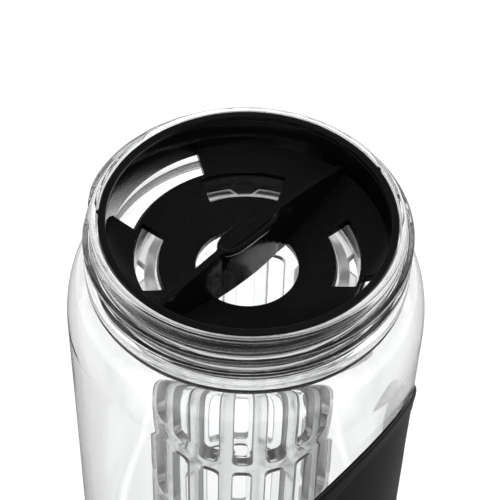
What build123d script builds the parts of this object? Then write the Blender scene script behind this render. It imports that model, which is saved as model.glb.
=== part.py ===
from build123d import *
import math
import os

# A wide-mouth infuser bottle, standing on z = 0 with its axis on z. Azimuths are
# degrees counter-clockwise from +X seen from above; the front of the bottle is -Y.
# Drops are measured down from the rim of the bottle.

# Bottle. Its neck is built out from the bore, and the body from the neck.
bottle_height = 205.0
bore_radius = 34.0
bore_edge = 0.3
bore_step = 0.8
neck_wall = 1.6
collar_reach = 1.8
collar_drop = 12.7
collar_height = 3.6
collar_edge = 0.5
shoulder_inset = 0.6
shoulder_reach = 5.5
shoulder_height = 16.0
shoulder_wall = 1.2
shoulder_crease_radius = 0.8
body_wall = 2.0
base_corner_radius = 6.0
base_inner_corner_radius = 5.0
foot_ring_width = 4.0
base_rise = 3.5
base_thickness = 3.0
thread_height = 1.8
thread_root_width = 2.7
thread_crest_width = 1.1
thread_pitch = 4.2
thread_turns = 2
thread_top_drop = 1.9
thread_start_azimuth = 190.0
thread_sink = 0.5
rim_edge_radius = 0.8

# Grip pad, set into the front right of the body
pad_azimuth = -36.0
pad_half_width = 33.0
pad_half_height = 51.0
pad_top_drop = 42.8
pad_border_width = 6.0
pad_border_proud = 0.7
pad_panel_sunk = 0.1
pad_recess_depth = 1.0
pad_bond_gap = 0.1

# Strainer insert, one moulding that drops into the neck
insert_play = 0.3
insert_wall = 1.7
bowl_wall_drop = 9.0
bowl_hole_drop = 16.9
bowl_thickness = 2.0
bowl_sag_share = 0.07
pour_hole_radius = 11.9
pour_window_reach = 5.2
pour_window_azimuth = 140.5
pour_window_sweep = 53.0
arc_slot_inset = 6.0
arc_slot_width = 5.6
arc_slot_azimuth = 4.0
arc_slot_sweep = 46.0
arc_slot_corner = 0.8
blade_azimuth = 48.2
blade_drop = 4.0
blade_end_drop = 7.2
blade_thickness = 1.6
web_half_length = 9.4
web_half_thickness = 1.6
web_end_share = 0.62
grip_half_length = 9.2
grip_half_width = 3.1
grip_straight_share = 0.72
grip_tip_share = 0.45
grip_corner = 1.1
grip_thickness = 2.2
grip_lip = 0.7
grip_dish_depth = 0.7
skirt_wall = 1.6
tab_reach = 1.8
tab_thickness = 1.8
tab_azimuth = 49.0
tab_sweep = 10.0
bayonet_count = 4

# Gasket in a groove on top of the insert's ring
gasket_thickness = 1.2
gasket_tongue_width = 0.7
gasket_tongue_depth = 1.4
gasket_clearance = 0.1

# Infuser basket, hung from the insert by a bayonet
basket_play = 0.4
basket_wall = 2.4
basket_seat_depth = 0.7
basket_band = 20.6
basket_floor_gap = 12.2
basket_floor_thickness = 2.2
basket_foot_least = 4.0
lug_thickness = 1.8
notch_play = 4.0
lug_play = 0.2
slot_pitch = 8.2
slot_width = 4.8
slot_height = 25.0
slot_corner = 1.6
slot_row_gap = 4.3
slot_azimuth = -89.0

# Radii that follow from the above
overrun = 5.0
thread_root_radius = bore_radius + neck_wall
collar_radius = thread_root_radius + collar_reach
shoulder_start_radius = collar_radius - shoulder_inset
body_radius = shoulder_start_radius + shoulder_reach
insert_radius = bore_radius - insert_play
ring_inner_radius = insert_radius - insert_wall
pour_window_inner_radius = ring_inner_radius - pour_window_reach
arc_slot_outer_radius = ring_inner_radius - arc_slot_inset
arc_slot_inner_radius = arc_slot_outer_radius - arc_slot_width
skirt_inner_radius = arc_slot_outer_radius
skirt_outer_radius = skirt_inner_radius + skirt_wall
tab_inner_radius = skirt_inner_radius - tab_reach
basket_radius = tab_inner_radius - basket_play
lug_outer_radius = skirt_inner_radius - basket_play
lug_sweep = 360 / bayonet_count - tab_sweep - notch_play

# Heights that follow from the above
rim_z = bottle_height
collar_top_z = rim_z - collar_drop
collar_base_z = collar_top_z - collar_height
shoulder_base_z = collar_base_z - shoulder_height
ring_base_z = rim_z - bowl_wall_drop - bowl_thickness
ring_top_z = rim_z - gasket_thickness
bowl_hole_z = rim_z - bowl_hole_drop
basket_top_z = bowl_hole_z - basket_seat_depth
tab_top_z = basket_top_z - lug_thickness - lug_play
tab_base_z = tab_top_z - tab_thickness
bottle_floor_z = base_rise + base_thickness
basket_base_z = bottle_floor_z + basket_floor_gap
slots_top_z = basket_top_z - basket_band

# Slots in the basket's wall, as many as there is room for
slots_around = round(2 * math.pi * basket_radius / slot_pitch)
slot_row_pitch = slot_height + slot_row_gap
slot_rows = math.floor((slots_top_z - basket_base_z - basket_foot_least + slot_row_gap) / slot_row_pitch)


bottom_middle = (Align.CENTER, Align.CENTER, Align.MIN)


def spun(*stretches):
    """Solid turned about the z axis from the closed outline of the stretches in the XZ plane."""
    outline = [edge for stretch in stretches for edge in stretch.edges()]
    return revolve(Plane.XZ * make_face(outline), Axis.Z)


def tube(outer, inner, low, high):
    """Straight tube between two heights."""
    height = high - low
    hollow = Cylinder(outer, height, align=bottom_middle) - Cylinder(inner, height, align=bottom_middle)
    return Pos(0, 0, low) * hollow


def sector(inner, outer, middle, sweep, low, high, corner=0):
    """Piece of a flat ring between two radii, centred on an azimuth, from one height to another."""
    def at(radius, azimuth):
        turn = math.radians(azimuth)
        return radius * math.cos(turn), radius * math.sin(turn)

    start, end = middle - sweep / 2, middle + sweep / 2
    face = make_face([
        ThreePointArc(at(outer, start), at(outer, middle), at(outer, end)),
        Line(at(outer, end), at(inner, end)),
        ThreePointArc(at(inner, end), at(inner, middle), at(inner, start)),
        Line(at(inner, start), at(outer, start)),
    ])
    if corner:
        face = fillet(face.vertices(), corner)
    return Pos(0, 0, low) * extrude(face, high - low)


def pad_prism(inset):
    """Oval rod that runs out from the axis through the pad, smaller than the pad by the inset."""
    middle_z = rim_z - pad_top_drop - pad_half_height
    outward = Plane(origin=(0, 0, middle_z), x_dir=(0, -1, 0), z_dir=(1, 0, 0))
    oval = Ellipse(pad_half_width - inset, pad_half_height - inset)
    return Rot(0, 0, pad_azimuth) * extrude(outward * oval, body_radius + overrun)


def bottle_body():
    """Blown body with a dished base, rounded shoulder, plain collar and a threaded neck."""
    foot_inner_radius = body_radius - base_corner_radius - foot_ring_width
    lower_bore_radius = bore_radius - bore_step
    inner_radius = body_radius - body_wall
    floor_corner_z = base_thickness + base_inner_corner_radius
    inner_crease_z = collar_base_z - shoulder_wall
    crease_end_radius = lower_bore_radius + shoulder_crease_radius
    outside = [
        TangentArc((0, base_rise), (foot_inner_radius, 0), tangent=(1, 0)),
        Line((foot_inner_radius, 0), (body_radius - base_corner_radius, 0)),
        TangentArc((body_radius - base_corner_radius, 0), (body_radius, base_corner_radius), tangent=(1, 0)),
        Line((body_radius, base_corner_radius), (body_radius, shoulder_base_z)),
        EllipticalCenterArc((shoulder_start_radius, shoulder_base_z), body_radius - shoulder_start_radius,
                            shoulder_height, start_angle=0, arc_size=90),
        Polyline((shoulder_start_radius, collar_base_z), (collar_radius - collar_edge, collar_base_z),
                 (collar_radius, collar_base_z + collar_edge), (collar_radius, collar_top_z - collar_edge),
                 (collar_radius - collar_edge, collar_top_z), (thread_root_radius, collar_top_z),
                 (thread_root_radius, rim_z - rim_edge_radius)),
        TangentArc((thread_root_radius, rim_z - rim_edge_radius),
                   (thread_root_radius - rim_edge_radius, rim_z), tangent=(0, 1)),
    ]
    inside = [
        Polyline((thread_root_radius - rim_edge_radius, rim_z), (bore_radius + bore_edge, rim_z),
                 (bore_radius, rim_z - bore_edge), (bore_radius, ring_base_z),
                 (lower_bore_radius, ring_base_z),
                 (lower_bore_radius, inner_crease_z + shoulder_crease_radius)),
        TangentArc((lower_bore_radius, inner_crease_z + shoulder_crease_radius),
                   (crease_end_radius, inner_crease_z), tangent=(0, -1)),
        Line((crease_end_radius, inner_crease_z), (shoulder_start_radius, inner_crease_z)),
        EllipticalCenterArc((shoulder_start_radius, shoulder_base_z), inner_radius - shoulder_start_radius,
                            inner_crease_z - shoulder_base_z, start_angle=0, arc_size=90),
        Line((inner_radius, shoulder_base_z), (inner_radius, floor_corner_z)),
        TangentArc((inner_radius, floor_corner_z),
                   (inner_radius - base_inner_corner_radius, base_thickness), tangent=(0, -1)),
        TangentArc((0, bottle_floor_z),
                   (inner_radius - base_inner_corner_radius, base_thickness), tangent=(1, 0)),
        Line((0, bottle_floor_z), (0, base_rise)),
    ]
    body = spun(*outside, *inside)
    recess = pad_prism(-pad_bond_gap) - Cylinder(body_radius - pad_recess_depth, 2 * bottle_height)
    return (body - recess) + neck_thread()


def neck_thread():
    """Right-handed ridge that winds down the neck from just under the rim."""
    rise = thread_pitch * thread_turns
    helix = Helix(thread_pitch, rise, thread_root_radius - thread_sink)
    half_root, half_crest = thread_root_width / 2, thread_crest_width / 2
    depth = thread_height + thread_sink
    corners = [(0, -half_root), (depth, -half_crest), (depth, half_crest), (0, half_root)]
    section = make_face(Polyline(*corners, corners[0]))
    start = Plane(origin=helix @ 0, x_dir=(1, 0, 0), z_dir=helix % 0)
    ridge = sweep(start * section, path=helix, is_frenet=True)
    return Pos(0, 0, rim_z - thread_top_drop - rise) * Rot(0, 0, thread_start_azimuth) * ridge


def grip_pad():
    """Moulded oval pad: a thin panel with a raised border, curved to the recess in the body."""
    back_radius = body_radius - pad_recess_depth + pad_bond_gap
    low = rim_z - pad_top_drop - 2 * pad_half_height - overrun
    high = rim_z - pad_top_drop + overrun
    panel = tube(body_radius - pad_panel_sunk, back_radius, low, high) & pad_prism(0)
    oval_ring = pad_prism(0) - pad_prism(pad_border_width)
    border = tube(body_radius + pad_border_proud, back_radius, low, high) & oval_ring
    return panel + border


def bowl_arc(shift):
    """Profile of the bowl from the pour hole up to the ring's wall, lowered by the shift."""
    low_end = (pour_hole_radius, bowl_hole_z - shift)
    high_end = (ring_inner_radius, rim_z - bowl_wall_drop - shift)
    return SagittaArc(low_end, high_end, -bowl_sag_share * math.dist(low_end, high_end))


def above_bowl(shift):
    """Everything inside the insert above the lowered profile, straight across at the pour hole."""
    arc = bowl_arc(shift)
    hole_edge, wall_edge = arc @ 0, arc @ 1
    corners = [(insert_radius, wall_edge.Y), (insert_radius, rim_z), (0, rim_z), (0, hole_edge.Y)]
    return spun(Line((0, hole_edge.Y), hole_edge), arc, Polyline(wall_edge, *corners))


def repeated(azimuth):
    """Azimuths of what repeats around the bayonet, from that of the first."""
    return [azimuth + index * 360 / bayonet_count for index in range(bayonet_count)]


def bowl():
    """Dished floor of the insert, with the pour hole, two pour windows and four arc slots."""
    top, underside = bowl_arc(0), bowl_arc(bowl_thickness)
    dish = spun(top, Line(top @ 1, underside @ 1), underside, Line(underside @ 0, top @ 0))
    low, high = bowl_hole_z - bowl_thickness - overrun, rim_z
    for turn in (0, 180):
        dish -= sector(pour_window_inner_radius, ring_inner_radius, pour_window_azimuth + turn,
                       pour_window_sweep, low, high)
    for azimuth in repeated(arc_slot_azimuth):
        dish -= sector(arc_slot_inner_radius, arc_slot_outer_radius, azimuth, arc_slot_sweep, low, high,
                       arc_slot_corner)
    return dish


def blade_and_grip():
    """Arched blade across the bowl, thickened into a web at the middle, with a finger grip on top."""
    top_z, base_z = rim_z - blade_drop, bowl_hole_z - bowl_thickness
    end, end_z = ring_inner_radius + insert_wall / 2, rim_z - blade_end_drop
    blade_side = make_face([
        ThreePointArc((-end, end_z), (0, top_z), (end, end_z)),
        *Polyline((end, end_z), (end, base_z), (-end, base_z), (-end, end_z)).edges(),
    ])
    blade = extrude(Plane.XZ * blade_side, blade_thickness / 2, both=True) & above_bowl(bowl_thickness)

    reach, end_half = web_half_length, web_half_thickness * web_end_share
    web_plan = make_face([
        ThreePointArc((-reach, end_half), (0, web_half_thickness), (reach, end_half)),
        Line((reach, end_half), (reach, -end_half)),
        ThreePointArc((reach, -end_half), (0, -web_half_thickness), (-reach, -end_half)),
        Line((-reach, -end_half), (-reach, end_half)),
    ])
    web = Pos(0, 0, base_z) * extrude(web_plan, top_z - grip_thickness - base_z)

    straight, tip = grip_half_length * grip_straight_share, grip_half_width * grip_tip_share
    outline = [(straight, grip_half_width), (grip_half_length, tip), (grip_half_length, -tip),
               (straight, -grip_half_width), (-straight, -grip_half_width), (-grip_half_length, -tip),
               (-grip_half_length, tip), (-straight, grip_half_width)]
    plate = make_face(Polyline(*outline, outline[0]))
    plate = fillet(plate.vertices(), grip_corner)
    hollow = offset(plate, -grip_lip)
    grip = Pos(0, 0, top_z - grip_thickness) * extrude(plate, grip_thickness)
    grip -= Pos(0, 0, top_z - grip_dish_depth) * extrude(hollow, grip_dish_depth + overrun)
    blade -= Pos(0, 0, top_z - grip_thickness) * extrude(plate, grip_thickness + overrun)
    return Rot(0, 0, blade_azimuth) * (blade + web + grip)


def strainer_insert():
    """Neck ring, bowl, blade with finger grip, and a skirt with bayonet tabs underneath."""
    ring = tube(insert_radius, ring_inner_radius, ring_base_z, ring_top_z)
    ring_middle = (insert_radius + ring_inner_radius) / 2
    half_groove = gasket_tongue_width / 2 + gasket_clearance
    groove_base_z = ring_top_z - gasket_tongue_depth - gasket_clearance
    ring -= tube(ring_middle + half_groove, ring_middle - half_groove, groove_base_z, rim_z)

    skirt = tube(skirt_outer_radius, skirt_inner_radius, tab_base_z, rim_z) - above_bowl(bowl_thickness / 2)
    for azimuth in repeated(tab_azimuth):
        skirt += sector(tab_inner_radius, skirt_outer_radius, azimuth, tab_sweep, tab_base_z, tab_top_z)
    return ring + bowl() + skirt + blade_and_grip()


def insert_gasket():
    """Flat silicone ring with a tongue that keys into the groove of the insert's ring."""
    middle = (insert_radius + ring_inner_radius) / 2
    half_tongue = gasket_tongue_width / 2
    ring = tube(insert_radius, ring_inner_radius, ring_top_z, rim_z)
    tongue_base_z = ring_top_z - gasket_tongue_depth
    return ring + tube(middle + half_tongue, middle - half_tongue, tongue_base_z, ring_top_z)


def infuser_basket():
    """Slotted cup with a closed floor, and a flange at its top that four notches part into lugs."""
    inner_radius = basket_radius - basket_wall
    cup = Pos(0, 0, basket_base_z) * Cylinder(basket_radius, basket_floor_thickness, align=bottom_middle)
    cup += tube(basket_radius, inner_radius, basket_base_z, basket_top_z)
    for azimuth in repeated(tab_azimuth):
        cup += sector(inner_radius, lug_outer_radius, azimuth, lug_sweep,
                      basket_top_z - lug_thickness, basket_top_z)
    window = extrude(RectangleRounded(slot_height, slot_width, slot_corner), basket_radius + overrun)
    slots = []
    for row in range(slot_rows):
        middle_z = slots_top_z - slot_height / 2 - row * slot_row_pitch
        for index in range(slots_around):
            turn = slot_azimuth + index * 360 / slots_around
            slots.append(Pos(0, 0, middle_z) * Rot(0, 0, turn) * Rot(0, 90, 0) * window)
    return cup - slots


pieces = {
    "bottle_body": bottle_body,
    "grip_pad": grip_pad,
    "strainer_insert": strainer_insert,
    "insert_gasket": insert_gasket,
    "infuser_basket": infuser_basket,
}
os.makedirs("parts", exist_ok=True)
for name, make in pieces.items():
    export_step(make(), f"parts/{name}.step")
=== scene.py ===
import math

import bmesh
import bpy
import numpy as np
from mathutils import Matrix, Vector


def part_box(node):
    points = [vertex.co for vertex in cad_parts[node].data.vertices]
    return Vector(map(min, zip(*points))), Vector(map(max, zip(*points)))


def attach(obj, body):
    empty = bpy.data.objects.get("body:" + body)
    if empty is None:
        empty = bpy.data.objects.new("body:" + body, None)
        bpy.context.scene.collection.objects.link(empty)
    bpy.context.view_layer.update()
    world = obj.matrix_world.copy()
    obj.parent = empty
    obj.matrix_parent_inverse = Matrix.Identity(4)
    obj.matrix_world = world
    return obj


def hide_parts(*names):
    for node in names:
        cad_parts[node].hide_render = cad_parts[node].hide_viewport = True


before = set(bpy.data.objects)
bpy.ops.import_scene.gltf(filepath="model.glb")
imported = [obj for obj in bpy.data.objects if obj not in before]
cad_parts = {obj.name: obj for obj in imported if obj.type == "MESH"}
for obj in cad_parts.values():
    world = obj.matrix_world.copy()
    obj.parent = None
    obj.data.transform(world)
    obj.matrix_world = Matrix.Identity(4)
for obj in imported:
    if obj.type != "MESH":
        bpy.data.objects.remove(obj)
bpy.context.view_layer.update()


# Studio: the camera stands in front of the bottle and looks down into its open neck with a
# long lens. The backdrop is plain white, and the sky that clear and glossy pieces see falls
# from pale grey at the horizon to nearly black overhead.

rim_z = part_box("bottle_body")[1].z
camera_from_rim = Vector((0.000518, -0.247252, 0.269766))
camera_elevation = math.radians(48.67)
camera_roll = math.radians(1.934)
camera_sensor_mm = 36
camera_focal_frames = 3.2774
clear_bounces = 96
sky_stops = (  # height of the direction, from 0 at the horizon to 1 overhead, and its grey
    (0.0, 0.8), (0.15, 0.5), (0.35, 0.06), (0.8, 0.04), (1.0, 0.06),
)

camera_data = bpy.data.cameras.new("camera")
camera_data.sensor_width = camera_sensor_mm
camera_data.lens = camera_focal_frames * camera_sensor_mm
camera = bpy.data.objects.new("camera", camera_data)
camera_back = Vector((0, -math.cos(camera_elevation), math.sin(camera_elevation)))
camera_side = Vector((1, 0, 0))
camera_up = camera_back.cross(camera_side)
rolled_side = math.cos(camera_roll) * camera_side + math.sin(camera_roll) * camera_up
rolled_up = math.cos(camera_roll) * camera_up - math.sin(camera_roll) * camera_side
camera_place = camera_from_rim + Vector((0, 0, rim_z))
camera.matrix_world = Matrix.Translation(camera_place) @ Matrix((
    (rolled_side.x, rolled_up.x, camera_back.x, 0),
    (rolled_side.y, rolled_up.y, camera_back.y, 0),
    (rolled_side.z, rolled_up.z, camera_back.z, 0),
    (0, 0, 0, 1),
))
bpy.context.scene.collection.objects.link(camera)
bpy.context.scene.camera = camera
bpy.context.scene.view_settings.view_transform = "Standard"
bpy.context.scene.cycles.max_bounces = clear_bounces
bpy.context.scene.cycles.transmission_bounces = clear_bounces
bpy.context.scene.cycles.glossy_bounces = clear_bounces
bpy.context.scene.cycles.caustics_refractive = True


class Shade:
    """A shader socket. Sums, differences and products with it add their Math nodes."""

    def __init__(self, tree, socket=None):
        self.tree = tree
        self.socket = socket

    def node(self, kind, settings=None, inputs=None, output=0):
        """Adds a node: its settings first, with a ramp's stops among them, then a value or a
        link for each input that is named."""
        made = self.tree.nodes.new(kind)
        for name, value in (settings or {}).items():
            if name != "stops":
                setattr(made, name, value)
                continue
            elements = made.color_ramp.elements
            while len(elements) < len(value):
                elements.new(0.5)
            for element, (place, tone) in zip(elements, value):
                element.position = place
                element.color = (*tone, 1) if isinstance(tone, tuple) else (tone, tone, tone, 1)
        for name, value in (inputs or {}).items():
            if isinstance(value, Shade):
                self.tree.links.new(value.socket, made.inputs[name])
            else:
                made.inputs[name].default_value = value
        return Shade(self.tree, made.outputs[output])

    def ramp(self, *stops):
        """Colour for this value, from pairs of a place and a grey or a colour."""
        return self.node("ShaderNodeValToRGB", {"stops": stops}, {"Fac": self}, "Color")

    def eased(self, start, end, first, last):
        """Goes from the first number to the last in an S, as this value goes from start to end."""
        return self.node("ShaderNodeMapRange", {"interpolation_type": "SMOOTHSTEP"}, {
            "Value": self, "From Min": start, "From Max": end, "To Min": first, "To Max": last})

    def _math(self, operation, first, second):
        return self.node("ShaderNodeMath", {"operation": operation}, {0: first, 1: second})

    def __add__(self, other):
        return self._math("ADD", self, other)

    def __sub__(self, other):
        return self._math("SUBTRACT", self, other)

    def __rsub__(self, other):
        return self._math("SUBTRACT", other, self)

    def __mul__(self, other):
        return self._math("MULTIPLY", self, other)

    __radd__, __rmul__ = __add__, __mul__


def surroundings():
    """World: plain white where the camera sees it, and the darkening sky for all other rays."""
    world = bpy.data.worlds.new("studio")
    bpy.context.scene.world = world
    world.use_nodes = True
    world.node_tree.nodes.clear()
    start = Shade(world.node_tree)
    direction = start.node("ShaderNodeTexCoord", output="Generated")
    height = start.node("ShaderNodeSeparateXYZ", None, {"Vector": direction}, output="Z")
    seen = start.node("ShaderNodeLightPath", output="Is Camera Ray")
    white = start.node("ShaderNodeBackground", None, {"Color": (1, 1, 1, 1), "Strength": 1.0})
    lit = start.node("ShaderNodeBackground", None, {
        "Color": height.ramp(*sky_stops), "Strength": 1.0})
    mixed = start.node("ShaderNodeMixShader", None, {0: seen, 1: lit, 2: white})
    output = world.node_tree.nodes.new("ShaderNodeOutputWorld")
    world.node_tree.links.new(mixed.socket, output.inputs["Surface"])


surroundings()


# Floor: a seamless sheet of white board that the bottle stands on, and that keeps its soft
# shadow under one square soft box. For rays that pass through clear pieces or bounce off
# glossy ones it darkens near the bottle, as black cards laid there would, to give grey edges.

floor_half_size = 3.0
floor_white, floor_dark = 0.8, 0.04
camera_lift, clear_lift = 0.42, 0.58
front_from_y, front_to_y = -0.065, -0.01
side_from_x, side_to_x, side_dark = 0.034, 0.07, 0.27
near_to, far_from = 0.4, 0.65
mirror_dark = 0.93
soft_box_place, soft_box_aim = Vector((0.1, 0.15, 1.25)), Vector((0, 0.1, 0))
soft_box_size, soft_box_power = 1.2, 16


def new_material(name):
    """Material with an empty node tree, and a start for building on."""
    material = bpy.data.materials.new(name)
    material.use_nodes = True
    material.node_tree.nodes.clear()
    return material, Shade(material.node_tree)


def finished(start, shader):
    """Puts a shader on a material's output."""
    output = start.tree.nodes.new("ShaderNodeOutputMaterial")
    start.tree.links.new(shader.socket, output.inputs["Surface"])


def white_board():
    """White board with a lift towards paper white for straight, refracted and mirrored rays.
    Near the bottle, refracted rays find it dark in front and a quarter dark beyond the
    sides, with dark = front + side - front * side, and mirrored rays find it dark all round."""
    material, start = new_material("white_board")
    straight_seen = start.node("ShaderNodeLightPath", output="Is Camera Ray")
    through = start.node("ShaderNodeLightPath", output="Is Transmission Ray")
    glossy = start.node("ShaderNodeLightPath", output="Is Glossy Ray")  # refracted rays too
    mirrored = glossy - through
    spot = start.node("ShaderNodeTexCoord", output="Object")
    spot_x = start.node("ShaderNodeSeparateXYZ", None, {"Vector": spot}, output="X")
    spot_y = start.node("ShaderNodeSeparateXYZ", None, {"Vector": spot}, output="Y")
    away = start.node("ShaderNodeVectorMath", {"operation": "LENGTH"}, {0: spot}, output="Value")
    off_middle = start.node("ShaderNodeMath", {"operation": "ABSOLUTE"}, {0: spot_x})
    front = spot_y.eased(front_from_y, front_to_y, 1.0, 0.0)
    side = off_middle.eased(side_from_x, side_to_x, 0.0, side_dark)
    near = away.eased(near_to, far_from, 1.0, 0.0)
    white = start.node("ShaderNodeBsdfDiffuse", None, {
        "Color": (floor_white, floor_white, floor_white, 1)})
    lift = start.node("ShaderNodeEmission", None, {
        "Color": straight_seen * camera_lift + glossy * clear_lift, "Strength": 1.0})
    dark = start.node("ShaderNodeBsdfDiffuse", None, {
        "Color": (floor_dark, floor_dark, floor_dark, 1)})
    finished(start, start.node("ShaderNodeMixShader", None, {
        0: near * (through * (front + side - front * side) + mirrored * mirror_dark),
        1: start.node("ShaderNodeAddShader", None, {0: white, 1: lift}), 2: dark}))
    return material


floor_mesh = bpy.data.meshes.new("floor")
floor_mesh.from_pydata([(x * floor_half_size, y * floor_half_size, 0) for x, y in
                        ((-1, -1), (1, -1), (1, 1), (-1, 1))], [], [(0, 1, 2, 3)])
floor_mesh.materials.append(white_board())
floor = bpy.data.objects.new("floor", floor_mesh)
bpy.context.scene.collection.objects.link(floor)

lamp = bpy.data.lights.new("overhead", "AREA")
lamp.shape, lamp.size, lamp.energy = "SQUARE", soft_box_size, soft_box_power
overhead = bpy.data.objects.new("overhead", lamp)
overhead.location = soft_box_place
overhead.rotation_euler = (soft_box_aim - soft_box_place).to_track_quat("-Z", "Y").to_euler()
overhead.visible_glossy = False
overhead.visible_transmission = False
bpy.context.scene.collection.objects.link(overhead)


# Bottle body: one clear copolyester blowing with a dished base, a straight wall, a rounded
# shoulder, a plain collar and a screw thread of two turns. Both faces of its 2 mm wall are
# modelled, and the thread is a ridge on the outer one.

body_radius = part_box("bottle_body")[1].x
wall = 0.002
base_corner, base_inner_corner = 0.006, 0.005
foot_ring, base_rise, base_thickness = 0.004, 0.0035, 0.003
collar_radius, collar_edge = 0.0374, 0.0006
collar_top_z, collar_base_z = rim_z - 0.0127, rim_z - 0.0163
shoulder_radius, shoulder_base_z = 0.0368, rim_z - 0.0323
neck_radius, neck_root, rim_edge = 0.0356, 0.0003, 0.0008
bore_radius, lower_bore_radius, bore_edge = 0.034, 0.0332, 0.0003
bore_step_z = rim_z - 0.011
shoulder_wall, crease_radius, shoulder_start_radius = 0.0013, 0.0008, 0.0352
thread_height, thread_half_crest, thread_half_root = 0.0018, 0.0005, 0.00135
thread_pitch, thread_turns, thread_top_drop = 0.0042, 2, 0.0019
thread_start, thread_run_in = 190, 30  # degrees
bottle_columns, wall_rows, shoulder_rows, thread_rows = 352, 24, 28, 84
dish_shares = np.linspace(0.06, 1, 9)
past_neck = 6  # degrees, so that the rim doesn't start on the neck's last point
same_point = 1e-7
bottle_tint, bottle_roughness, bottle_ripple = (0.975, 0.98, 0.98, 1), 0.0, 0.15
plastic_ior, plastic_shadow = 1.52, (0.9, 0.9, 0.9, 1)
ripple_scale, ripple_stretch, ripple_depth = 45.0, 0.35, 0.0004
haze_scale, haze_spread = 130.0, 0.02


def straight(start, end, count):
    """Evenly spaced points on a straight stretch of profile."""
    return np.linspace(start, end, count)


def rounded(centre, radii, start, end, count):
    """Points on part of an ellipse, between two angles in degrees."""
    angle = np.radians(np.linspace(start, end, count))
    return np.stack([centre[0] + radii[0] * np.cos(angle),
                     centre[1] + radii[1] * np.sin(angle)], -1)


def curve_through(*stretches):
    """One profile from several, without the points where they meet counted twice."""
    points = np.vstack(stretches)
    apart = np.linalg.norm(np.diff(points, axis=0), axis=1) > same_point
    return points[np.append(True, apart)]


def smooth_step(value):
    """0 below 0, 1 above 1, and an S-shaped rise between."""
    value = np.clip(value, 0, 1)
    return value * value * (3 - 2 * value)


def turned(radius, height, azimuth):
    """Points of a profile turned about the z axis, as x = radius * cos(azimuth) and
    y = radius * sin(azimuth): one row per profile point, one column per azimuth."""
    radius, height = np.broadcast_arrays(np.asarray(radius, float), np.asarray(height, float))
    if radius.ndim == 1:
        radius, height = radius[:, None], height[:, None]
    x, y = radius * np.cos(azimuth), radius * np.sin(azimuth)
    return np.stack([x, y, np.broadcast_to(height, x.shape)], -1)


def quads_between(rows, columns, along=False):
    """Corner numbers of the quads between the points of a grid that are numbered row by row.
    Each row closes on itself, and along joins the last row to the first."""
    index = np.arange(rows * columns).reshape(rows, columns)
    index = np.hstack([index, index[:, :1]])
    if along:
        index = np.vstack([index, index[:1]])
    corners = [index[:-1, :-1], index[:-1, 1:], index[1:, 1:], index[1:, :-1]]
    return np.stack(corners, -1).reshape(-1, 4)


def skin(name, grid, along=False, cap_first=False, cap_last=False):
    """Mesh over a grid of points whose rows close on themselves. along joins the last row to
    the first, and a cap closes an end row with a fan of triangles to the row's middle."""
    rows, columns = grid.shape[:2]
    points = grid.reshape(-1, 3)
    faces = quads_between(rows, columns, along).tolist()
    for wanted, row, turn in ((cap_first, 0, -1), (cap_last, rows - 1, 1)):
        if wanted:
            edge = row * columns + np.append(np.arange(columns), 0)
            middle = np.full(columns, len(points))
            points = np.vstack([points, points[edge[:-1]].mean(0)])
            faces += np.stack([edge[:-1], edge[1:], middle], -1)[:, ::turn].tolist()
    mesh = bpy.data.meshes.new(name)
    mesh.from_pydata(points.tolist(), [], faces)
    return mesh


def outward(mesh):
    """Turns a closed mesh's faces outwards if its signed volume, the sum of a . (b x c) over its
    triangles, is negative."""
    mesh.calc_loop_triangles()
    corners = np.zeros(len(mesh.loop_triangles) * 3, np.int32)
    mesh.loop_triangles.foreach_get("vertices", corners)
    points = np.zeros(len(mesh.vertices) * 3)
    mesh.vertices.foreach_get("co", points)
    a, b, c = points.reshape(-1, 3)[corners.reshape(-1, 3)].transpose(1, 0, 2)
    if (a * np.cross(b, c)).sum() < 0:
        mesh.flip_normals()
    return mesh


def shown(name, mesh, material, body, nodes, crease=35):
    """Puts a mesh in the scene as a piece that rides on a body and stands for CAD nodes. Edges
    sharper than the crease, in degrees, stay sharp."""
    mesh.validate()
    mesh.shade_smooth()
    mesh.set_sharp_from_angle(angle=math.radians(crease))
    mesh.materials.append(material)
    piece = bpy.data.objects.new(name, mesh)
    bpy.context.scene.collection.objects.link(piece)
    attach(piece, body)
    if nodes:
        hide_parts(*nodes)
    return piece


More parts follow.
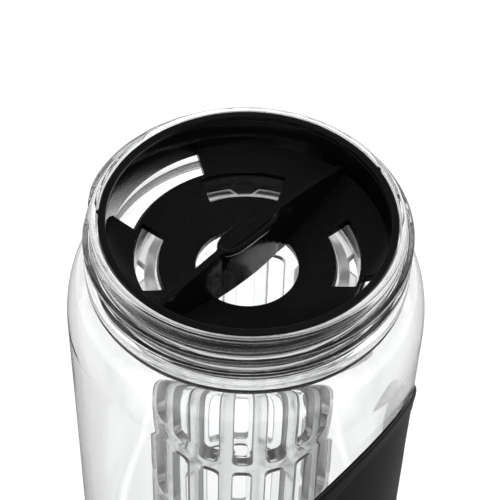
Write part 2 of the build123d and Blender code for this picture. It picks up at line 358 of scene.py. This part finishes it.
def bottle_profile():
    """Closed outline of the wall as (radius, height), from under the middle of the base, up the
    outside, over the rim and down the inside to the floor, and which of its rows carry the
    thread. Corners and shoulder are quarter ellipses, and the base is a parabola."""
    foot_outer = body_radius - base_corner
    foot_inner = foot_outer - foot_ring
    inner_radius = body_radius - wall
    floor_edge = inner_radius - base_inner_corner
    inner_crease_z = collar_base_z - shoulder_wall
    collar_edge_middle = collar_radius - collar_edge
    shoulder_reach = (body_radius - shoulder_radius, collar_base_z - shoulder_base_z)
    inner_reach = (inner_radius - shoulder_start_radius, inner_crease_z - shoulder_base_z)
    under = np.stack([dish_shares * foot_inner, base_rise * (1 - dish_shares ** 2)], -1)
    lower = curve_through(
        under,
        straight((foot_inner, 0), (foot_outer, 0), 3),
        rounded((foot_outer, base_corner), (base_corner, base_corner), -90, 0, 9),
        straight((body_radius, base_corner), (body_radius, shoulder_base_z), wall_rows),
        rounded((shoulder_radius, shoulder_base_z), shoulder_reach, 0, 90, shoulder_rows),
        straight((shoulder_radius, collar_base_z), (collar_edge_middle, collar_base_z), 2),
        rounded((collar_edge_middle, collar_base_z + collar_edge),
                (collar_edge, collar_edge), -90, 0, 5),
        rounded((collar_edge_middle, collar_top_z - collar_edge),
                (collar_edge, collar_edge), 0, 90, 5),
        straight((collar_edge_middle, collar_top_z), (neck_radius + neck_root, collar_top_z), 2),
    )
    neck = straight((neck_radius, collar_top_z + neck_root), (neck_radius, rim_z - rim_edge),
                    thread_rows)
    upper = curve_through(
        rounded((neck_radius - rim_edge, rim_z - rim_edge), (rim_edge, rim_edge),
                past_neck, 90, 8),
        rounded((bore_radius + bore_edge, rim_z - bore_edge), (bore_edge, bore_edge), 90, 180, 4),
        straight((bore_radius, rim_z - bore_edge), (bore_radius, bore_step_z), 4),
        straight((bore_radius, bore_step_z), (lower_bore_radius, bore_step_z), 2),
        straight((lower_bore_radius, bore_step_z),
                 (lower_bore_radius, inner_crease_z + crease_radius), 4),
        rounded((lower_bore_radius + crease_radius, inner_crease_z + crease_radius),
                (crease_radius, crease_radius), 180, 270, 6),
        rounded((shoulder_start_radius, shoulder_base_z), inner_reach, 90, 0, shoulder_rows),
        straight((inner_radius, shoulder_base_z),
                 (inner_radius, base_thickness + base_inner_corner), wall_rows),
        rounded((floor_edge, base_thickness + base_inner_corner),
                (base_inner_corner, base_inner_corner), 0, -90, 8),
    )
    inward = dish_shares[-2::-1]
    inside = np.stack([inward * floor_edge, base_thickness + base_rise * (1 - inward ** 2)], -1)
    threaded = np.repeat([False, True, False], [len(lower), len(neck), len(upper) + len(inside)])
    return np.vstack([lower, neck, upper, inside]), threaded


def thread_ridge(height, azimuth):
    """How far the thread stands out: for each turn, a rounded trapezoid about the helix, which
    fades in and out over the run-in at its ends."""
    along = (thread_start - np.degrees(azimuth)) % 360
    ridge = np.zeros(np.broadcast(height, azimuth).shape)
    for turn in range(thread_turns):
        wound = along + 360 * turn
        middle = rim_z - thread_top_drop - thread_pitch * wound / 360
        flank = ((thread_half_root - np.abs(height - middle))
                 / (thread_half_root - thread_half_crest))
        unwound = 360 * thread_turns - wound
        ends = smooth_step(wound / thread_run_in) * smooth_step(unwound / thread_run_in)
        ridge = np.maximum(ridge, thread_height * smooth_step(flank) * ends)
    return ridge


def clear_plastic(name, tint, roughness, ripple):
    """Clear moulded plastic: it refracts as copolyester does, its faces carry a faint ripple
    that runs up the piece, and their roughness varies a little. Lamps shine through it."""
    material, start = new_material(name)
    place = start.node("ShaderNodeTexCoord", output="Object")
    flow = start.node("ShaderNodeMapping", None, {
        "Vector": place, "Scale": (1, 1, ripple_stretch)})
    waves = start.node("ShaderNodeTexNoise", None, {
        "Vector": flow, "Scale": ripple_scale, "Detail": 2.0})
    bump = start.node("ShaderNodeBump", None, {
        "Height": waves, "Strength": ripple, "Distance": ripple_depth})
    haze = start.node("ShaderNodeTexNoise", None, {
        "Vector": place, "Scale": haze_scale, "Detail": 4.0})
    clear = start.node("ShaderNodeBsdfPrincipled", None, {
        "Base Color": tint, "Transmission Weight": 1.0, "IOR": plastic_ior,
        "Roughness": haze * haze_spread + roughness, "Normal": bump,
    })
    lamp_ray = start.node("ShaderNodeLightPath", output="Is Shadow Ray")
    open_way = start.node("ShaderNodeBsdfTransparent", None, {"Color": plastic_shadow})
    finished(start, start.node("ShaderNodeMixShader", None, {0: lamp_ray, 1: clear, 2: open_way}))
    return material


azimuths = np.linspace(0, 2 * np.pi, bottle_columns, endpoint=False)
profile, threaded = bottle_profile()
radii = np.repeat(profile[:, :1], bottle_columns, 1)
radii[threaded] += thread_ridge(profile[threaded, 1:], azimuths[None, :])
bottle_mesh = skin("bottle_body", turned(radii, profile[:, 1:], azimuths),
                   cap_first=True, cap_last=True)
bottle_clear = clear_plastic("clear_plastic", bottle_tint, bottle_roughness, bottle_ripple)
shown("clear_bottle", outward(bottle_mesh), bottle_clear, "bottle", ["bottle_body"],
      crease=50)


# Grip pad: a moulded oval of black elastomer, bonded into a recess on the front right of the
# wall. A rounded border stands proud round a thin panel that follows the wall.

pad_azimuth = math.radians(-36)
pad_half_width, pad_half_height = 0.033, 0.051
pad_top_z = rim_z - 0.0428
pad_back_radius = body_radius + 0.00003
pad_steps = np.array([  # distance in from the edge, height over the wall
    (0.0, 0.0), (0.0001, 0.0003), (0.0004, 0.00055), (0.0010, 0.00068), (0.0020, 0.0007),
    (0.0028, 0.00062), (0.0034, 0.00050), (0.0048, 0.00040), (0.0056, 0.00034),
    (0.0060, 0.00018), (0.0064, 0.00013), (0.009, 0.00013), (0.014, 0.00013), (0.02, 0.00013),
    (0.026, 0.00013), (0.031, 0.00013),
])
pad_columns = 160
pad_black, pad_roughness, pad_grain = (0.008, 0.008, 0.0085), 0.1, 0.12
grain_scale, grain_depth = 2400.0, 0.0001
cloud_scale, cloud_from, cloud_to = 60.0, 0.3, 0.7
cloud_tones, cloud_roughness = (0.85, 1.15), 0.12


def pad_grid():
    """Ovals one inside the other, each pressed radially on to the wall at its own height: out
    along the back from its middle to the edge, then in again over the front."""
    angle = np.linspace(0, 2 * np.pi, pad_columns, endpoint=False)
    inset = np.append(pad_steps[:0:-1, 0], pad_steps[:, 0])[:, None]
    height = np.append(0 * pad_steps[:0:-1, 1], pad_steps[:, 1])[:, None]
    across = (pad_half_width - inset) * np.cos(angle)
    up = pad_top_z - pad_half_height + (pad_half_height - inset) * np.sin(angle)
    turn = pad_azimuth + np.arcsin(across / body_radius)
    radius = pad_back_radius + height
    return np.stack([radius * np.cos(turn), radius * np.sin(turn), up], -1)


def elastomer(name, tone, roughness, grain):
    """Moulded rubber: a fine spark-eroded grain, and broad clouds in its tone and roughness."""
    material, start = new_material(name)
    place = start.node("ShaderNodeTexCoord", output="Object")
    fine = start.node("ShaderNodeTexNoise", None, {
        "Vector": place, "Scale": grain_scale, "Detail": 3.0})
    broad = start.node("ShaderNodeTexNoise", None, {
        "Vector": place, "Scale": cloud_scale, "Detail": 3.0})
    bump = start.node("ShaderNodeBump", None, {
        "Height": fine, "Strength": grain, "Distance": grain_depth})
    darker, lighter = (tuple(share * part for part in tone) for share in cloud_tones)
    finished(start, start.node("ShaderNodeBsdfPrincipled", None, {
        "Base Color": broad.ramp((cloud_from, darker), (cloud_to, lighter)),
        "Roughness": broad * cloud_roughness + roughness, "Normal": bump,
    }))
    return material


pad_mesh = outward(skin("grip_pad", pad_grid(), cap_first=True, cap_last=True))
grip_rubber = elastomer("grip_rubber", pad_black, pad_roughness, pad_grain)
shown("oval_grip_pad", pad_mesh, grip_rubber, "bottle", ["grip_pad"], crease=60)


# Strainer insert: one glossy black plastic moulding that drops into the neck. Its ring sits on
# the step of the bore and carries a dished bowl with a pour hole, two pour windows and four
# slots.

insert_radius, ring_inner = 0.0337, 0.032
gasket_thickness = 0.0012
ring_base_z, ring_top_z = bore_step_z, rim_z - gasket_thickness
ring_corner, ring_columns = 0.0003, 256
bowl_hole, bowl_hole_drop, bowl_wall_drop, bowl_thickness = 0.0119, 0.0169, 0.009, 0.002
bowl_sag_share, bowl_tuck = 0.07, 0.0006
window_inner, window_azimuth, window_sweep = 0.0268, 140.5, 53
slot_inner, slot_outer, slot_azimuth, slot_sweep = 0.0204, 0.026, 4, 46
bowl_turn_step, bowl_radius_step = 2.5, 0.0008
edge_bevel, bevelled_from = 0.00025, math.radians(50)
black_tones = (0.0045, 0.0045, 0.0047), (0.0065, 0.0065, 0.0068)
black_ior, black_roughness, black_roughness_spread = 1.5, 0.10, 0.10
sink_scale, sink_depth, sink_strength = 90.0, 0.0003, 0.08
dust_scale, dust_from, dust_to = 900.0, 0.35, 0.7


def black_gloss():
    """Polished black plastic, with a trace of sink and flow in its surface."""
    material, start = new_material("black_plastic")
    place = start.node("ShaderNodeTexCoord", output="Object")
    flow = start.node("ShaderNodeTexNoise", None, {
        "Vector": place, "Scale": sink_scale, "Detail": 2.0})
    dust = start.node("ShaderNodeTexNoise", None, {
        "Vector": place, "Scale": dust_scale, "Detail": 3.0})
    bump = start.node("ShaderNodeBump", None, {
        "Height": flow, "Strength": sink_strength, "Distance": sink_depth})
    finished(start, start.node("ShaderNodeBsdfPrincipled", None, {
        "Base Color": dust.ramp((dust_from, black_tones[0]), (dust_to, black_tones[1])),
        "Roughness": flow * black_roughness_spread + black_roughness,
        "IOR": black_ior, "Normal": bump,
    }))
    return material


def bowl_height(radius):
    """Height of the bowl's top face: a circular arc that sags below the line from hole to wall.
    Its bend is (chord squared / 4 + sag squared) / (2 * sag)."""
    run, rise = ring_inner - bowl_hole, bowl_hole_drop - bowl_wall_drop
    chord = math.hypot(run, rise)
    sag = bowl_sag_share * chord
    bend = (chord ** 2 / 4 + sag ** 2) / (2 * sag)
    middle = np.array([(ring_inner + bowl_hole) / 2, -(bowl_hole_drop + bowl_wall_drop) / 2])
    away = np.array([-rise, run]) / chord
    centre = middle + away * (bend - sag)
    return rim_z + centre[1] - np.sqrt(bend ** 2 - (radius - centre[0]) ** 2)


def spaced(breaks, step):
    """Values that run through all the breaks, in order, with no gap wider than the step."""
    spans = [np.linspace(a, b, max(2, math.ceil((b - a) / step) + 1))[:-1]
             for a, b in zip(breaks, breaks[1:])]
    return np.concatenate(spans + [[breaks[-1]]])


def off_openings(turn, first, count):
    """Degrees from each azimuth to the nearest of some openings, spread evenly from the first."""
    apart = 360 / count
    return np.abs((turn - first + apart / 2) % apart - apart / 2)


def bowl_mesh():
    """Polar grid of the bowl's top face, with the faces of the windows and slots left out. The
    grid has rows and columns at the edges of each opening."""
    slot_edges = np.add.outer(np.arange(4) * 90, (-slot_sweep / 2, slot_sweep / 2)) + slot_azimuth
    window_edges = (np.add.outer(np.arange(2) * 180, (-window_sweep / 2, window_sweep / 2))
                    + window_azimuth)
    edges = sorted(set(np.append(slot_edges, window_edges) % 360))
    turn = spaced(edges + [edges[0] + 360], bowl_turn_step)[:-1]
    radius = spaced([bowl_hole, slot_inner, slot_outer, window_inner, ring_inner,
                     ring_inner + bowl_tuck], bowl_radius_step)
    middle_radius = ((radius[1:] + radius[:-1]) / 2)[:, None]
    middle_turn = turn + np.diff(np.append(turn, turn[0] + 360)) / 2
    open_slot = ((middle_radius > slot_inner) & (middle_radius < slot_outer)
                 & (off_openings(middle_turn, slot_azimuth, 4) < slot_sweep / 2))
    open_window = ((middle_radius > window_inner)
                   & (off_openings(middle_turn, window_azimuth, 2) < window_sweep / 2))
    faces = quads_between(len(radius), len(turn))[~(open_slot | open_window).ravel()]
    used, faces = np.unique(faces, return_inverse=True)
    points = turned(radius, bowl_height(radius), np.radians(turn)).reshape(-1, 3)[used]
    mesh = bpy.data.meshes.new("strainer_bowl")
    mesh.from_pydata(points.tolist(), [], faces.reshape(-1, 4).tolist())
    if mesh.polygons[0].normal.z < 0:
        mesh.flip_normals()
    return mesh


def thickened(piece, thickness):
    """Gives a sheet its wall below it, with narrow rounded edges, by two modifiers."""
    sheet_wall = piece.modifiers.new("wall", "SOLIDIFY")
    sheet_wall.thickness, sheet_wall.offset = thickness, -1
    edge = piece.modifiers.new("edge", "BEVEL")
    edge.width, edge.segments, edge.limit_method = edge_bevel, 3, "ANGLE"
    edge.angle_limit = bevelled_from
    edge.harden_normals = True


def ring_section(low, high, corner, low_points, high_points):
    """Rectangle between the insert's two radii, with its corners rounded, as (radius, height)
    points that start under the outer edge."""
    outer, inner = insert_radius - corner, ring_inner + corner
    return np.vstack([
        rounded((outer, low + corner), (corner, corner), -90, 0, low_points),
        rounded((outer, high - corner), (corner, corner), 0, 90, high_points),
        rounded((inner, high - corner), (corner, corner), 90, 180, high_points),
        rounded((inner, low + corner), (corner, corner), 180, 270, low_points),
    ])


black_plastic = black_gloss()
bowl = shown("strainer_bowl", bowl_mesh(), black_plastic, "insert", ["strainer_insert"])
thickened(bowl, bowl_thickness)
ring_turns = np.linspace(0, 2 * np.pi, ring_columns, endpoint=False)
ring_outline = ring_section(ring_base_z, ring_top_z, ring_corner, 4, 4)
ring_mesh = skin("strainer_ring", turned(*ring_outline.T, ring_turns), along=True)
shown("strainer_ring", outward(ring_mesh), black_plastic, "insert", [])


# Blade and grip: part of the same black moulding, an arched blade that crosses the bowl from
# wall to wall. Over the pour hole it thickens into a web that carries a boat-shaped finger
# grip with a hollow top.

blade_azimuth = math.radians(48.2)
blade_drop, blade_end_drop, blade_half, blade_foot_half = 0.004, 0.0072, 0.0008, 0.0010
blade_end, blade_edge, blade_step = ring_inner + 0.0008, 0.0003, 0.0012
web_reach, web_half, web_end_half, web_face = 0.0094, 0.0016, 0.0010, 0.00006
web_foot_z = rim_z - bowl_hole_drop - bowl_thickness
grip_half_length, grip_half_width, grip_proud = 0.0092, 0.0031, 0.0001
grip_along_power, grip_across_power, grip_columns = 3.4, 2.3, 96
grip_steps = np.array([  # distance in from the outline, depth below the top
    (0.0016, 0.0022), (0.0007, 0.0022), (0.0003, 0.0020), (0.0001, 0.0017), (0.0, 0.0012),
    (0.0, 0.0004), (0.0001, 0.00015), (0.00035, 0.0), (0.0006, 0.00002), (0.0008, 0.00014),
    (0.0011, 0.00034), (0.0015, 0.0005), (0.0021, 0.00062), (0.0027, 0.00066),
])


def placed(points):
    """Turns points from the blade's own axes, u along it and v across, into the frame's."""
    u, v, z = np.moveaxis(points, -1, 0)
    c, s = math.cos(blade_azimuth), math.sin(blade_azimuth)
    return np.stack([u * c - v * s, u * s + v * c, z], -1)


def blade_grid():
    """Sections along the blade: a thin upright plate with rounded top edges, under an arch that
    falls from the middle to the bowl's height at the wall. Over the hole its half width is a
    parabola, widest in the middle, and a pair of near sections gives each change its face."""
    changes = [side * (place + gap) for side in (-1, 1) for place in (bowl_hole, web_reach)
               for gap in (-web_face, web_face)]
    u = spaced(sorted([-blade_end, 0, blade_end] + changes), blade_step)
    fall = blade_end_drop - blade_drop
    arch = (blade_end ** 2 + fall ** 2) / (2 * fall)
    top = rim_z - blade_drop - (arch - np.sqrt(arch ** 2 - u ** 2))
    on_bowl = bowl_height(np.maximum(np.abs(u), bowl_hole)) - bowl_thickness / 2
    foot = np.where(np.abs(u) > bowl_hole, on_bowl, web_foot_z)[:, None]
    lens = web_end_half + (web_half - web_end_half) * (1 - (u / web_reach) ** 2)
    half = np.where(np.abs(u) < web_reach, lens, blade_half)[:, None]
    foot_half = np.where(np.abs(u) < web_reach, lens, blade_foot_half)[:, None]
    corner_angle = np.radians(np.linspace(0, 90, 4))
    side = half - blade_edge + blade_edge * np.cos(corner_angle)
    height = top[:, None] - blade_edge + blade_edge * np.sin(corner_angle)
    v = np.hstack([foot_half, side, -side[:, ::-1], -foot_half])
    z = np.hstack([foot, height, height[:, ::-1], foot])
    return placed(np.stack([np.broadcast_to(u[:, None], v.shape), v, z], -1))


def grip_grid():
    """The grip's outline drawn in by steps, each at its own depth: under edge, side, lip and
    hollow. The outline is a superellipse, fuller towards its ends than across."""
    turn = np.linspace(0, 2 * np.pi, grip_columns, endpoint=False)
    cosine, sine = np.cos(turn), np.sin(turn)
    outline = np.stack([
        grip_half_length * np.sign(cosine) * np.abs(cosine) ** (2 / grip_along_power),
        grip_half_width * np.sign(sine) * np.abs(sine) ** (2 / grip_across_power)], -1)
    shrink = 1 - grip_steps[:, :1] / np.array([grip_half_length, grip_half_width])
    flat = outline[None] * shrink[:, None, :]
    height = rim_z - blade_drop + grip_proud - grip_steps[:, 1]
    return placed(np.dstack([flat, np.broadcast_to(height[:, None, None], (*flat.shape[:2], 1))]))


def joined(name, meshes, weld=0.0):
    """One mesh that holds several. With a weld, points nearer to each other than that become
    one, and the faces are turned to one side again."""
    gathered = bmesh.new()
    for mesh in meshes:
        gathered.from_mesh(mesh)
    if weld:
        bmesh.ops.remove_doubles(gathered, verts=gathered.verts, dist=weld)
        bmesh.ops.recalc_face_normals(gathered, faces=gathered.faces)
    whole = bpy.data.meshes.new(name)
    gathered.to_mesh(whole)
    gathered.free()
    return whole


blade_mesh = outward(skin("blade", blade_grid(), cap_first=True, cap_last=True))
grip_mesh = outward(skin("grip", grip_grid(), cap_first=True, cap_last=True))
shown("strainer_blade", joined("strainer_blade", [blade_mesh, grip_mesh]), black_plastic,
      "insert", [], crease=40)


# Bayonet: the underside of the same moulding, a skirt with four small tabs inside it between
# the slots. The basket's flange is put over them through its notches and turned to lock.

skirt_inner, skirt_outer, skirt_columns = slot_outer, 0.0276, 192
skirt_top_z, skirt_slope = rim_z - 0.0134, 0.0008
tab_inner, tab_top_z, tab_base_z = 0.0242, rim_z - 0.0196, rim_z - 0.0214
tab_azimuth, tab_sweep, tab_root, tab_columns = 49, 10, 0.0004, 5


def tab_block(middle):
    """Closed block of a flat ring, between the tab's two radii and two heights, about an
    azimuth in degrees. Its outer face stands a little inside the skirt."""
    turn = np.radians(middle + np.linspace(-tab_sweep / 2, tab_sweep / 2, tab_columns))
    outer = skirt_inner + tab_root
    loop = np.array([(tab_inner, tab_base_z), (outer, tab_base_z), (outer, tab_top_z),
                     (tab_inner, tab_top_z)])
    return outward(skin("tab", turned(*loop.T, turn).transpose(1, 0, 2),
                        cap_first=True, cap_last=True))


skirt_loop = np.array([(skirt_inner, tab_base_z), (skirt_outer, tab_base_z),
                       (skirt_outer, skirt_top_z), (skirt_inner, skirt_top_z - skirt_slope)])
skirt_turns = np.linspace(0, 2 * np.pi, skirt_columns, endpoint=False)
tube = outward(skin("tube", turned(*skirt_loop.T, skirt_turns), along=True))
tabs = [tab_block(tab_azimuth + 90 * quarter) for quarter in range(4)]
shown("bayonet_skirt", joined("bayonet_skirt", [tube] + tabs), black_plastic, "insert", [])


# Insert gasket: a flat ring of matt black silicone, seated on the insert's ring for the lid
# to press on. Two small gate tabs stand out of its outer edge.

gasket_corner, gasket_columns = 0.00025, 720
gate_azimuths, gate_half_sweep, gate_reach, gate_slope = (180.0, 28.9), 0.9, 0.0005, 1.5
gasket_black, gasket_roughness, gasket_grain = (0.005, 0.005, 0.0053), 0.3, 0.15


def gasket_grid():
    """Rounded rectangle turned round the axis. At the gate tabs, the points of its top outer
    corner are pushed out, in an S on each side."""
    turn = np.linspace(0, 360, gasket_columns, endpoint=False)
    loop = ring_section(ring_top_z, rim_z, gasket_corner, 3, 5)
    corner_reach = gasket_corner + same_point
    near_top = ((loop[:, 1] > rim_z - corner_reach) & (loop[:, 0] > insert_radius - corner_reach))
    push = sum(smooth_step(gate_slope - off_openings(turn, gate, 1) / gate_half_sweep)
               for gate in gate_azimuths)
    radius = np.repeat(loop[:, :1], gasket_columns, 1)
    radius[near_top] += gate_reach * push
    return turned(radius, loop[:, 1:], np.radians(turn))


silicone = elastomer("black_silicone", gasket_black, gasket_roughness, gasket_grain)
gasket_mesh = outward(skin("seal_ring", gasket_grid(), along=True))
shown("seal_ring", gasket_mesh, silicone, "insert", ["insert_gasket"],
      crease=60)


# Infuser basket: a clear moulded cup with five rows of eighteen tall slots, a notched flange
# at its rim and a closed floor. Its mould leaves the faces inside the slots and round the
# flange matt, and a darker tint on them is painted shade, so they show as grey lines.

basket_radius, basket_wall = 0.0238, 0.0024
basket_inner = basket_radius - basket_wall
basket_low, basket_high = (corner.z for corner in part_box("infuser_basket"))
slots_around, slot_rows, hole_width, hole_height, hole_corner = 18, 5, 0.0048, 0.025, 0.0016
hole_row_gap, hole_azimuth = 0.0043, -89
hole_edge, hole_edge_middle = 0.00015, 0.000045
first_hole_z = rim_z - 0.0372
side_points, arc_points = 5, 5
lug_reach, notch_reach, lug_thickness, lug_sweep = 0.0018, 0.00003, 0.0018, 78
flange_edge, band_rows = 0.0004, 6
floor_thickness, floor_bend, inner_floor_bend = 0.0022, 0.0016, 0.001
floor_ring, floor_middle = 0.012, 0.0005
nothing, basket_weld = 1e-9, 2e-6
# The matt faces' tint is darker than the clear plastic's: painted shade on the slot and flange
# faces.
basket_tint, slot_shade_tint = (0.97, 0.975, 0.975, 1), (0.9, 0.9, 0.91, 1)
basket_roughness, slot_roughness, basket_ripple = 0.07, 0.3, 0.1


def slot_outline(grow):
    """Rounded rectangle about the slot's middle, larger by a distance, as (across, up) points
    that start at the right-hand side. Its straight sides are divided, its corners are arcs."""
    half_w, half_h, bend = hole_width / 2 + grow, hole_height / 2 + grow, hole_corner + grow
    corner_x, corner_y = half_w - bend, half_h - bend
    side_y = np.linspace(0, corner_y, side_points, endpoint=False)
    quarter = np.vstack([
        np.stack([np.full(side_points, half_w), side_y], -1),
        rounded((corner_x, corner_y), (bend, bend), 0, 90, arc_points),
    ])
    top_half = np.vstack([quarter, quarter[::-1] * (-1, 1)])
    return np.vstack([top_half, (top_half[::-1] * (1, -1))[1:-1]])


def cell_outline():
    """Points on the edge of the oblong cell round a slot, one for each point of its outline:
    straight across or up from a side, and shared out evenly towards the cell's corner from
    an arc, by the arc's angle."""
    half_w, half_h = basket_radius * np.pi / slots_around, (hole_height + hole_row_gap) / 2
    slot = slot_outline(0)
    bend_x, bend_y = hole_width / 2 - hole_corner, hole_height / 2 - hole_corner
    over_x, over_y = np.abs(slot[:, 0]) - bend_x, np.abs(slot[:, 1]) - bend_y
    on_arc = (over_x > -nothing) & (over_y > nothing)
    angle = np.where(on_arc, np.degrees(np.arctan2(over_y, np.maximum(over_x, nothing))), 0)
    up_share, across_share = np.clip(angle / 45, 0, 1), np.clip((90 - angle) / 45, 0, 1)
    x = np.where(angle > 46, bend_x + (half_w - bend_x) * across_share, half_w)
    on_side = np.where(angle > 0, bend_y + (half_h - bend_y) * up_share, np.abs(slot[:, 1]))
    y = np.where(angle < 44, on_side, half_h)
    upward = np.where(np.abs(slot[:, 1]) < nothing, 0, np.sign(slot[:, 1]))
    return np.stack([np.sign(slot[:, 0]) * x, upward * y], -1)


def slotted_wall():
    """The wall between the plain bands: one cell, whose surface runs in from the cell's edge over
    the slot's rounded edge, through the wall and out again inside, is wrapped on to the
    basket's radius once for each slot. The three strips inside a slot are matt and carry a
    darker tint of painted shade."""
    path = (  # distance out from the slot's side, or None for the cell's edge, and depth
        (None, 0), (hole_edge, 0), (hole_edge_middle, hole_edge_middle), (0, hole_edge),
        (0, basket_wall - hole_edge), (hole_edge_middle, basket_wall - hole_edge_middle),
        (hole_edge, basket_wall), (None, basket_wall),
    )
    flat = np.stack([cell_outline() if grow is None else slot_outline(grow) for grow, _ in path])
    radius = basket_radius - np.array([inward for _, inward in path])[:, None]
    matt_and_shaded = np.zeros((len(path) - 1, flat.shape[1]), bool)
    matt_and_shaded[2:5] = True  # from the middle of one rounded edge to the middle of the other
    rows, numbers = np.arange(slot_rows), np.arange(slots_around)
    middle_z = first_hole_z - hole_height / 2 - rows * (hole_height + hole_row_gap)
    turn = np.radians(hole_azimuth + 360 / slots_around * numbers)[:, None, None]
    turn = turn + flat[..., 0] / basket_radius
    up = flat[..., 1] + middle_z[:, None, None, None]
    grids = np.stack(np.broadcast_arrays(radius * np.cos(turn), radius * np.sin(turn), up), -1)
    cell_faces = quads_between(len(path), flat.shape[1])
    cells = slot_rows * slots_around
    faces = cell_faces + flat[..., 0].size * np.arange(cells)[:, None, None]
    mesh = bpy.data.meshes.new("slotted_wall")
    mesh.from_pydata(grids.reshape(-1, 3).tolist(), [], faces.reshape(-1, 4).tolist())
    # The strips inside the slots take the matt material, whose darker tint is painted shade.
    mesh.polygons.foreach_set("material_index", np.tile(matt_and_shaded.ravel(), cells).astype(np.int32))
    return mesh


def plain_bands():
    """Turned skins on the same azimuths as the cells' edges: the band above the slots with the
    rim, whose outer points stand out as four lugs between notches and whose flange is matt
    with a darker tint of painted shade, then the floor's outer face and its inner face."""
    cell = cell_outline()
    on_top = cell[:, 1] > (hole_height + hole_row_gap) / 2 - same_point
    top_edge = np.unique(np.round(cell[on_top, 0], 9))[:-1]
    middles = np.radians(hole_azimuth + 360 / slots_around * np.arange(slots_around))
    turns = np.add.outer(middles, top_edge / basket_radius).ravel()
    lug = off_openings(np.degrees(turns), tab_azimuth, 4) < lug_sweep / 2
    top_z = first_hole_z + hole_row_gap / 2
    low_z = top_z - slot_rows * (hole_height + hole_row_gap)
    flange_z = basket_high - lug_thickness
    below = straight((basket_radius, top_z), (basket_radius, flange_z), band_rows)
    flange = np.array([(basket_radius, flange_z), (basket_radius, basket_high - flange_edge),
                       (basket_radius - flange_edge, basket_high)])
    mouth = np.array([(basket_inner + flange_edge, basket_high),
                      (basket_inner, basket_high - flange_edge)])
    inside = straight((basket_inner, flange_z), (basket_inner, top_z), band_rows)
    rim = np.vstack([below, flange, mouth, inside])
    stands_out = np.repeat([0, 1, 0], [len(below), len(flange), len(mouth) + len(inside)])
    rim_radius = rim[:, :1] + stands_out[:, None] * np.where(lug, lug_reach, notch_reach)
    rim_mesh = skin("rim", turned(rim_radius, rim[:, 1:], turns[None, :]))
    strip = np.arange(len(rim_mesh.polygons)) // len(turns)
    last_matt_and_shaded = len(below) + len(flange) + len(mouth) - 1
    matt_and_shaded = (strip >= len(below) - 1) & (strip <= last_matt_and_shaded)
    # The flange takes the matt material, whose darker tint is painted shade.
    rim_mesh.polygons.foreach_set("material_index", matt_and_shaded.astype(np.int32))
    under = np.vstack([
        straight((basket_radius, low_z), (basket_radius, basket_low + floor_bend), 2),
        rounded((basket_radius - floor_bend, basket_low + floor_bend),
                (floor_bend, floor_bend), 0, -90, 6)[1:],
        [(floor_ring, basket_low), (floor_middle, basket_low)],
    ])
    floor_top = basket_low + floor_thickness
    over = np.vstack([
        [(floor_middle, floor_top), (floor_ring, floor_top)],
        rounded((basket_inner - inner_floor_bend, floor_top + inner_floor_bend),
                (inner_floor_bend, inner_floor_bend), -90, 0, 4),
        [(basket_inner, low_z)],
    ])
    return [rim_mesh, skin("under", turned(*under.T, turns), cap_last=True),
            skin("over", turned(*over.T, turns), cap_first=True)]


basket_mesh = joined("infuser_basket", [slotted_wall()] + plain_bands(), weld=basket_weld)
basket_clear = clear_plastic("basket_plastic", basket_tint, basket_roughness, basket_ripple)
basket = shown("slotted_basket", outward(basket_mesh), basket_clear, "basket",
               ["infuser_basket"], crease=18)
# The second material is for the matt faces, and its darker tint is painted shade.
basket.data.materials.append(clear_plastic("slot_faces", slot_shade_tint, slot_roughness,
                                           basket_ripple))
